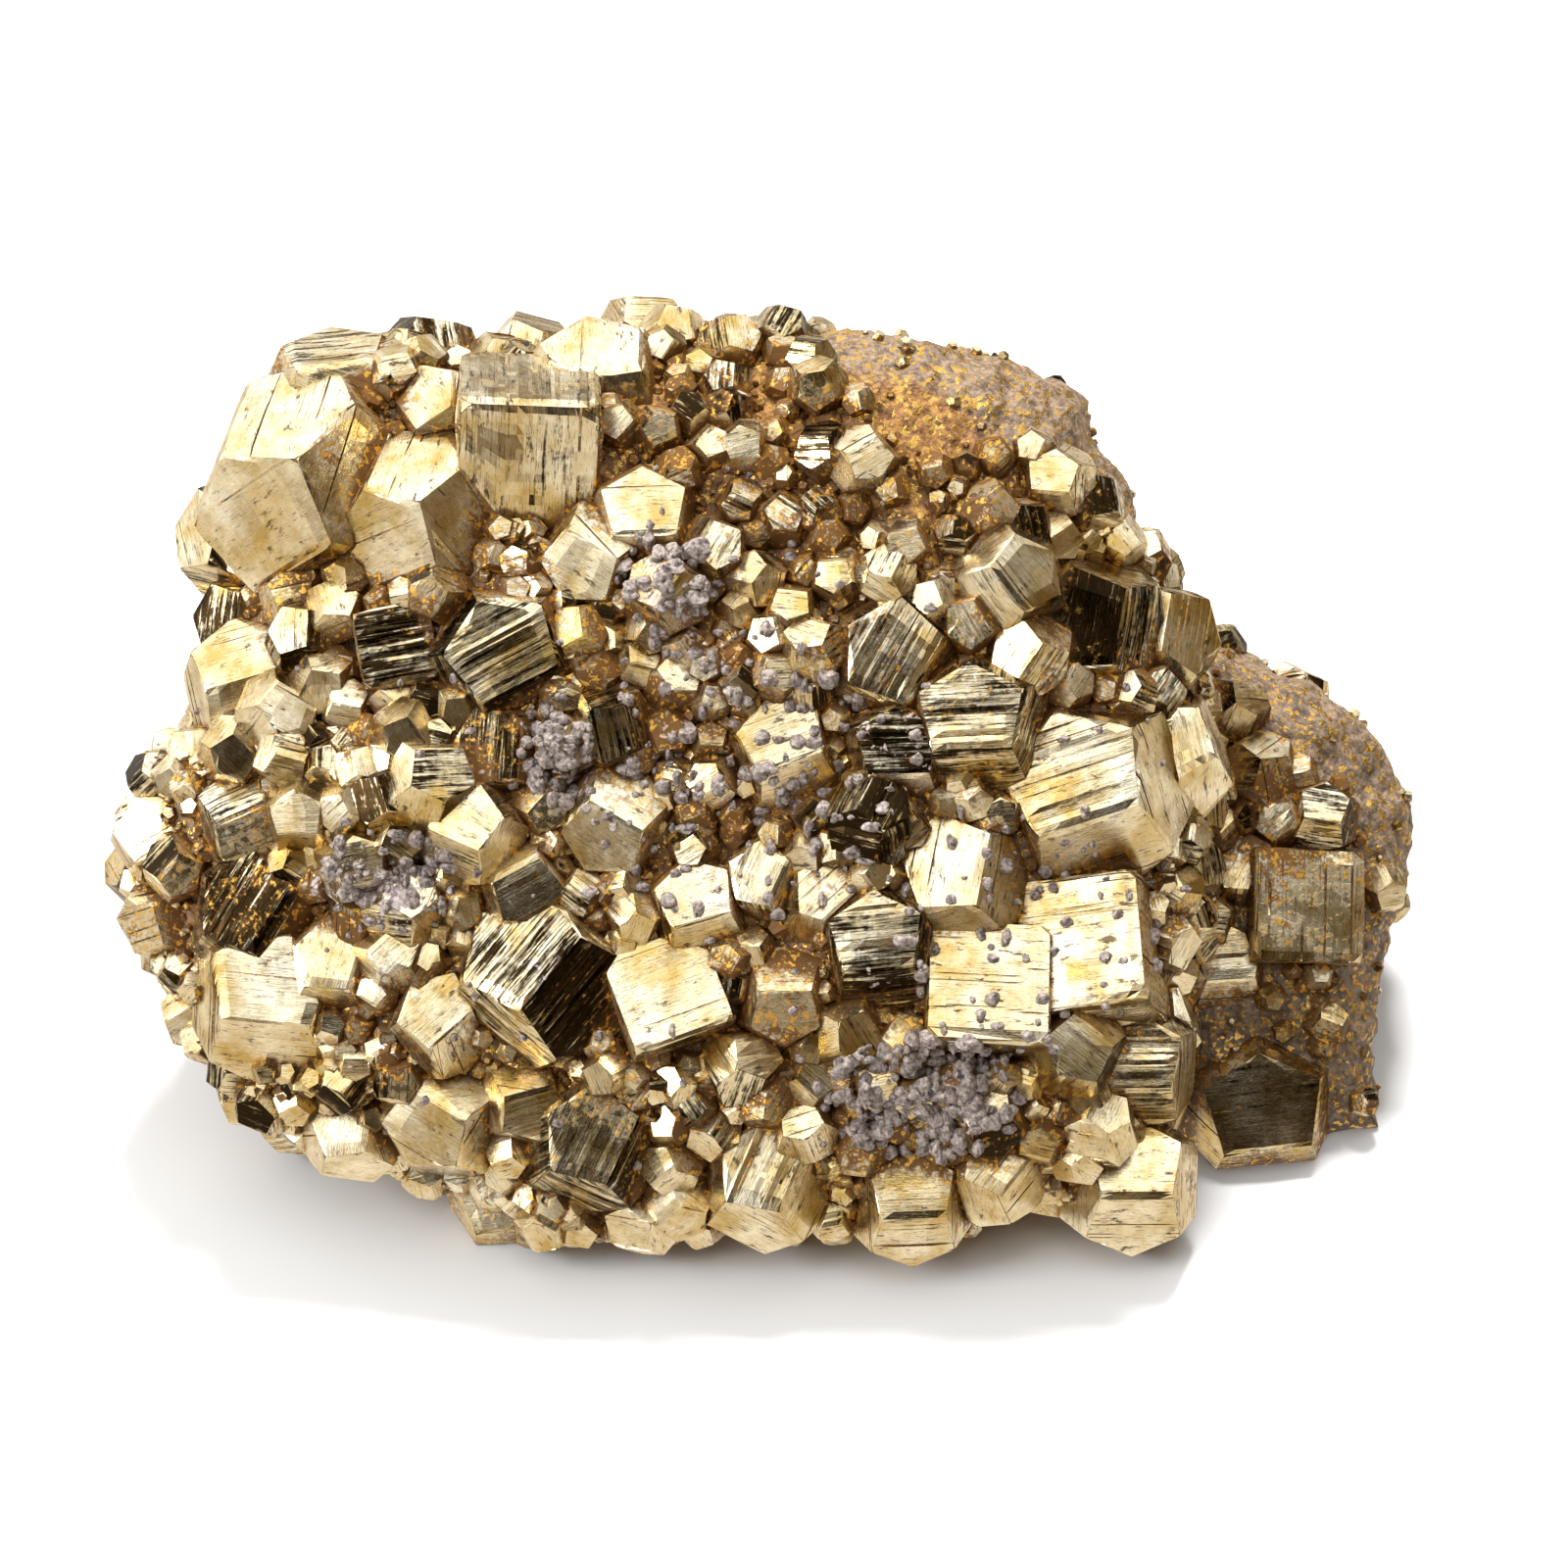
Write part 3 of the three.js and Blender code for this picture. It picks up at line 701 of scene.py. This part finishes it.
def rock_piece(name, lump, rings, spokes):
    """A lump with uneven, granular relief, broken behind, cut flat where it meets the ground.

    Points below the ground slide towards the lump's middle until they lie on the ground.
    """
    turns = np.linspace(0, math.pi, rings + 1)
    angles = np.arange(spokes) * 2 * math.pi / spokes
    points = rock_points(lump, turns, angles)
    slope = np.cross(np.roll(points, -1, 1) - np.roll(points, 1, 1), np.gradient(points, axis=0))
    normal = -unit(slope)
    flat = points.reshape(-1, 3)
    relief = (
        1.1 * smooth_noise(flat, 11, 1)
        + 0.7 * smooth_noise(flat, 4.5, 2)
        + 0.9 * (0.5 - grains(flat, 3.2, 3))
        + 0.45 * (0.5 - grains(flat, 1.3, 7))
    )
    behind = np.clip((lump["rim"] - 4 - flat[:, 2]) / 6, 0, 1)
    broken = behind * (5 * broken_planes(flat, 14, 11) + 1.5 * broken_planes(flat, 5, 21))
    broken = np.clip(broken, -BROKEN_RELIEF, BROKEN_RELIEF).reshape(rings + 1, spokes)
    for _ in range(2):  # eases the steps, so that no fin stands out
        broken = (np.roll(broken, 1, 1) + broken + np.roll(broken, -1, 1)) / 3
        broken[1:-1] = (broken[:-2] + broken[1:-1] + broken[2:]) / 3
    relief += broken.ravel()
    points = points + normal * relief.reshape(*points.shape[:2], 1)
    points[0], points[-1] = points[0].mean(0), points[-1].mean(0)
    grid = stand(points.reshape(-1, 3)).reshape(points.shape)
    centre = grid[grid[..., 2] > 0].mean(0)
    share = centre[2] / np.maximum(centre[2] - grid[..., 2:], centre[2])
    grid = centre + (grid - centre) * share
    index = 1 + np.arange((rings - 1) * spokes).reshape(rings - 1, spokes)
    beside = np.roll(index, -1, axis=1)
    quads = np.stack([index[:-1], index[1:], beside[1:], beside[:-1]], axis=-1).reshape(-1, 4)
    last = (rings - 1) * spokes + 1
    front = np.stack([np.zeros(spokes, int), index[0], beside[0]], axis=1)
    back = np.stack([np.full(spokes, last), beside[-1], index[-1]], axis=1)
    vertices = np.concatenate([grid[:1, 0], grid[1:-1].reshape(-1, 3), grid[-1:, 0]])
    layout = lay_flat(vertices)
    rusty = 0.55 * (1 - bare_matrix(layout)) + 0.6 * rusty_hollow(layout)
    faces = [*front.tolist(), *quads.tolist(), *back.tolist()]
    return new_object(name, vertices, faces, ROCK, dict(rusty=rusty))


def bare_matrix(layout):
    """How much of the bare matrix shows: 1 over the upper right and behind, 0 in front.

    The upper right lies beyond the line 0.4 * across + up = 35.5, and the lobe's bare end beyond
    across + 0.55 * up = 49. Both lines wander by up to 3 mm.
    """
    across, up, out = layout.T
    wobble = 3 * smooth_noise(layout, 9, 41)
    upper = 1 / (1 + np.exp(-(across * 0.4 + up - 35.5 + wobble) / 0.6))
    lobe = 1 / (1 + np.exp(-(across + up * 0.55 - 49.0 + wobble) / 0.6))
    behind = 1 / (1 + np.exp((out + 6 + wobble) / 0.8))
    return np.clip(np.maximum(np.maximum(upper * (across > 4), lobe), behind), 0, 1)


def rusty_hollow(layout):
    """1 in the middle of the rusty, sugary hollow below the top edge, falling to 0 round it."""
    across, up, out = layout.T
    far = np.hypot((across - 3) / 20, (up - 29) / 11) + 0.25 * smooth_noise(layout, 6, 42)
    return np.clip((1.15 - far) / 0.35, 0, 1) * (out > -6)


RINGS = 200
main_rock = rock_piece("rock_main", MAIN_LUMP, RINGS, 2 * RINGS)
lobe_rock = rock_piece("rock_lobe", LOBE_LUMP, RINGS // 2, RINGS)
for piece in (main_rock, lobe_rock):
    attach(piece, "root")
    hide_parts("matrix_rock")

# ---------------------------------------------------------------- smaller crystals


def surface_spots(objects, count, rng):
    """Points spread evenly over meshes, with normals, in millimetres."""
    corners, normals, areas = [], [], []
    for obj in objects:
        obj.data.calc_loop_triangles()
        n = len(obj.data.loop_triangles)
        ids = np.zeros(n * 3, int)
        obj.data.loop_triangles.foreach_get("vertices", ids)
        co = np.zeros(len(obj.data.vertices) * 3)
        obj.data.vertices.foreach_get("co", co)
        tri = co.reshape(-1, 3)[ids.reshape(-1, 3)] / MM
        cross = np.cross(tri[:, 1] - tri[:, 0], tri[:, 2] - tri[:, 0])
        corners.append(tri)
        normals.append(unit(cross))
        areas.append(np.linalg.norm(cross, axis=1))
    tri, normal, area = (np.concatenate(x) for x in (corners, normals, areas))
    pick = rng.choice(len(tri), count, p=area / area.sum())
    u, v = rng.random((2, count, 1))
    u, v = np.where(u + v > 1, 1 - u, u), np.where(u + v > 1, 1 - v, v)
    a, b, c = (tri[pick, i] for i in range(3))
    return a + u * (b - a) + v * (c - a), normal[pick]


def turned(outward, rng):
    """A random rotation that carries one of the crystal's own directions to outward."""
    own = unit(np.array([[1, 2, 0], [0, 1, 0], [1, 1, 1], [0.3, 1, 0.2]][rng.integers(4)], float))
    along = unit(np.array([0, 0, 1.0]) - own * own[2])
    local = np.stack([along, np.cross(own, along), own])
    goal = unit(outward + rng.normal(0, 0.22, 3))
    side = unit(np.cross(goal, rng.normal(size=3)))
    world = np.stack([side, np.cross(goal, side), goal])
    return local.T @ world


def has_room(spot, size, centres, sizes):
    """Whether a crystal at the spot keeps its distance from all those placed so far."""
    if not centres:
        return True
    gap = np.linalg.norm(np.array(centres) - spot, axis=1)
    return bool((gap > CROWDING * (size + np.array(sizes)) / 2).all())


MEDIUM_SIZES = [8.6, 7.0, 5.8, 4.6, 3.6]
SIZE_SHARES = [0.14, 0.22, 0.26, 0.23, 0.15]
CROWDING = 0.56  # the least distance between two of them, as a share of their mean size
MOST_MEDIUM = 640
SKIPPED_ON_BARE = 0.998  # share of the spots left empty on bare matrix
SKIPPED_IN_HOLLOW = 0.90
SPARSE_SIZE = 0.7  # how much smaller they are there
LOW_EDGE = -34.0

rng = seeded(7)
spots, directions = surface_spots([main_rock, lobe_rock], 60000, rng)
buried = depth_in_large(spots)
layout = lay_flat(spots * MM)
bare = bare_matrix(layout) + 0.1 * seeded(8).normal(size=len(spots)) > 0.5
hollow = rusty_hollow(layout)
centres, sizes = [], []
medium = []
for i in np.flatnonzero((buried < 0.0) & (spots[:, 2] > 2.5)):
    if rng.random() < (SKIPPED_ON_BARE if bare[i] else SKIPPED_IN_HOLLOW * (hollow[i] > 0.5)):
        continue
    size = rng.choice(MEDIUM_SIZES, p=SIZE_SHARES) * rng.uniform(0.85, 1.15)
    if bare[i] or hollow[i] > 0.5:
        size *= SPARSE_SIZE
    if spots[i, 2] < 0.6 * size:  # it would reach below the ground
        continue
    if buried[i] < -0.16 * size and has_room(spots[i], size, centres, sizes):
        centres.append(spots[i])
        sizes.append(size)
        medium.append((spots[i], directions[i], size, hollow[i]))
    if len(medium) > MOST_MEDIUM:
        break
print("medium crystals", len(medium))

groups = [Shells() for _ in range(6)]
for k, (spot, outward, size, rust) in enumerate(medium):
    outward = unit(outward + 0.5 * OUT * (outward @ OUT > 0))
    middle = spot + outward * (0.04 - 0.16 * (outward @ OUT < 0.55)) * size
    polygons = list((PYRITOHEDRON * size / 3) @ turned(outward, rng) + middle)
    shares = [0.15, 0.50, 0.35] if rust > 0.5 else [0.5, 0.26, 0.24]
    kind = rng.choice(["bright", "dark", "stained"], p=shares)
    if lay_flat(spot * MM)[1] < LOW_EDGE:  # these catch the light off the ground
        kind = "bright"
    look = dict(LOOKS[kind], pitch=0.36, relief=0.09, spread=0.25)
    look["stain"] += 0.12 * rust
    crystal_shells(groups[k % 6], polygons, middle, look, rng, outward)
for k, shells in enumerate(groups):
    piece = shells.build(f"medium_crystals_{k + 1}", PYRITE)
    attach(piece, "root")


def small_crystals(name, spots, outwards, sizes, tones, stains, rng):
    """Plain pyritohedra, one at each spot, with their own tone on every face."""
    count = len(spots)
    turns = np.stack([turned(o, rng) for o in outwards])
    shape = PYRITOHEDRON.reshape(60, 3) / 3
    points = np.einsum("ni,kij->knj", shape, turns) * sizes[:, None, None] + spots[:, None, :]
    faces = np.arange(count * 60).reshape(-1, 5)
    tone = np.repeat(np.clip(tones[:, None] + rng.normal(0, 0.25, (count, 12)), 0, 1).ravel(), 5)
    stain = np.repeat(stains, 60)
    points = points.reshape(-1, 3) * MM
    extra = dict(grain=points / MM, tone=tone, stain=stain, crevice=crevice(points), crust=crust(points))
    return new_object(name, points, faces.tolist(), PYRITE, extra)


def druse(name, low, high, count, seed, bare_share):
    """A layer of small crystals, low to high millimetres across, thinner on bare matrix.

    The coarse layer keeps out of the rusty hollow.
    """
    rng = seeded(seed)
    spots, outs = surface_spots([main_rock, lobe_rock], count * 6, rng)
    layout = lay_flat(spots * MM)
    crowd = 1 - bare_matrix(layout)
    keep = (depth_in_large(spots) < 0.2) & (spots[:, 2] > 0.6 * high)
    keep &= rng.random(len(spots)) < bare_share + (1 - bare_share) * crowd
    keep &= (high < 1.5) | (rusty_hollow(layout) < 0.5)
    spots, outs, layout = spots[keep][:count], outs[keep][:count], layout[keep][:count]
    sizes = rng.uniform(low, high, len(spots))
    tones = rng.uniform(0, 0.6, len(spots))
    stains = rng.uniform(0.15, 0.5, len(spots)) + 0.15 * rusty_hollow(layout)
    piece = small_crystals(name, spots + outs * sizes[:, None] * 0.12, outs, sizes, tones, stains, rng)
    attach(piece, "root")


druse("druse_coarse", 1.6, 3.2, 900, 21, 0.01)
druse("druse_fine", 0.5, 1.3, 3000, 22, 0.06)

# ---------------------------------------------------------------- galena nodules


def sphere_grid(rings, spokes):
    turn = np.linspace(0, math.pi, rings + 1)[1:-1]
    angle = np.arange(spokes) * 2 * math.pi / spokes
    t, a = np.meshgrid(turn, angle, indexing="ij")
    grid = np.stack([np.sin(t) * np.cos(a), np.sin(t) * np.sin(a), np.cos(t)], axis=-1).reshape(-1, 3)
    points = np.concatenate([[[0, 0, 1]], grid, [[0, 0, -1]]])
    index = 1 + np.arange((rings - 1) * spokes).reshape(rings - 1, spokes)
    beside = np.roll(index, -1, axis=1)
    last = len(points) - 1
    faces = [
        *np.stack([np.zeros(spokes, int), index[0], beside[0]], 1).tolist(),
        *np.stack([index[:-1], index[1:], beside[1:], beside[:-1]], -1).reshape(-1, 4).tolist(),
        *np.stack([np.full(spokes, last), beside[-1], index[-1]], 1).tolist(),
    ]
    return points, faces


def everything():
    """The surface of every piece so far, to drop things onto."""
    points, faces, start = [], [], 0
    for obj in bpy.context.scene.objects:
        if obj.type == "MESH" and obj.name not in NODES and obj.data.materials:
            co = np.zeros(len(obj.data.vertices) * 3)
            obj.data.vertices.foreach_get("co", co)
            obj.data.calc_loop_triangles()
            ids = np.zeros(len(obj.data.loop_triangles) * 3, int)
            obj.data.loop_triangles.foreach_get("vertices", ids)
            points.append(co.reshape(-1, 3) / MM)
            faces.append(ids.reshape(-1, 3) + start)
            start += len(obj.data.vertices)
    return BVHTree.FromPolygons(np.concatenate(points).tolist(), np.concatenate(faces).tolist())


surface = everything()
BALL, BALL_FACES = sphere_grid(7, 11)
for order, (name, patch) in enumerate(NODULES.items()):
    across, up, half_w, half_h, count, small, big = patch
    rng = seeded(300 + order)
    shells = Shells()
    for _ in range(count):
        angle, far = rng.uniform(0, 2 * math.pi), rng.random() ** 0.6
        at = np.array([across + half_w * far * math.cos(angle), up + half_h * far * math.sin(angle), 60.0])
        hit = surface.ray_cast(Vector(stand(at) / MM), Vector(-OUT))
        if hit[0] is None:
            continue
        radius = rng.uniform(small, big)
        lumpy = 1 + 0.42 * smooth_noise(BALL + rng.uniform(0, 50, 3), 0.7, order)[:, None]
        ball = BALL * lumpy * radius * rng.uniform(0.6, 1.3, 3)
        shells.add(ball + np.array(hit[0][:]), BALL_FACES)
    piece = shells.build(name + "_nodules", GALENA)
    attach(piece, "root")
    if name in NODES:
        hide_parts(name)

# ---------------------------------------------------------------- floor, light and camera

bpy.ops.mesh.primitive_plane_add(size=6)
floor = bpy.context.object
floor.name = "floor"
floor.data.materials.append(floor_material())
floor.visible_glossy = False  # the crystals reflect the dim lower half of the room instead


def aim(obj, target):
    direction = Vector(target) - obj.location
    obj.rotation_euler = direction.to_track_quat("-Z", "Y").to_euler()


def area_light(name, place, size, power):
    data = bpy.data.lights.new(name, "AREA")
    data.shape = "RECTANGLE"
    data.size, data.size_y = size
    data.energy = power
    light = bpy.data.objects.new(name, data)
    bpy.context.scene.collection.objects.link(light)
    light.location = place
    aim(light, (0, 0, 0.03))
    return light


key = area_light("key", (0.02, 0.42, 0.80), (0.22, 0.16), 20)
key.visible_glossy = False
area_light("left_light", (-0.75, -0.30, 0.55), (0.40, 0.40), 7)

world = bpy.data.worlds.new("studio")
bpy.context.scene.world = world
world.use_nodes = True
add = partial(add_node, world.node_tree)
direction = add("TexCoord", out="Generated")


def glow(towards, *stops):
    """Light by the cosine of the angle from a direction, warmer where it is dimmer."""
    towards = Vector(towards).normalized()
    cosine = add("VectorMath", {0: direction, 1: towards}, "Value", operation="DOT_PRODUCT")
    warm = [(place, (level, level**1.15, level**1.4, 1)) for place, level in stops]
    return add("ValToRGB", {"Fac": cosine}, stops=warm)


open_sky = glow((-0.45, 0.15, 0.88), (0.15, 0.12), (0.66, 1.0))
dark_room = glow((0.10, -0.80, 0.58), (0.86, 1.0), (0.955, 0.02))
off_the_floor = glow((0.0, 0.0, -1.0), (0.0, 0.0), (0.12, 0.50))
above = add("Mix", {0: 1.0, 6: open_sky, 7: dark_room}, 2, data_type="RGBA", blend_type="MULTIPLY")
light = add("Mix", {0: 1.0, 6: above, 7: off_the_floor}, 2, data_type="RGBA", blend_type="LIGHTEN")
background = world.node_tree.nodes["Background"]
plug(world.node_tree, background.inputs["Color"], light)
background.inputs["Strength"].default_value = 2.25

camera_data = bpy.data.cameras.new("camera")
camera = bpy.data.objects.new("camera", camera_data)
bpy.context.scene.collection.objects.link(camera)
camera_data.lens = 110
TARGET = stand([[1.3, 0.3, 6.0]])[0]
camera.location = Vector(TARGET + OUT * 0.424)
aim(camera, TARGET)
bpy.context.scene.camera = camera
bpy.context.scene.view_settings.view_transform = "Standard"
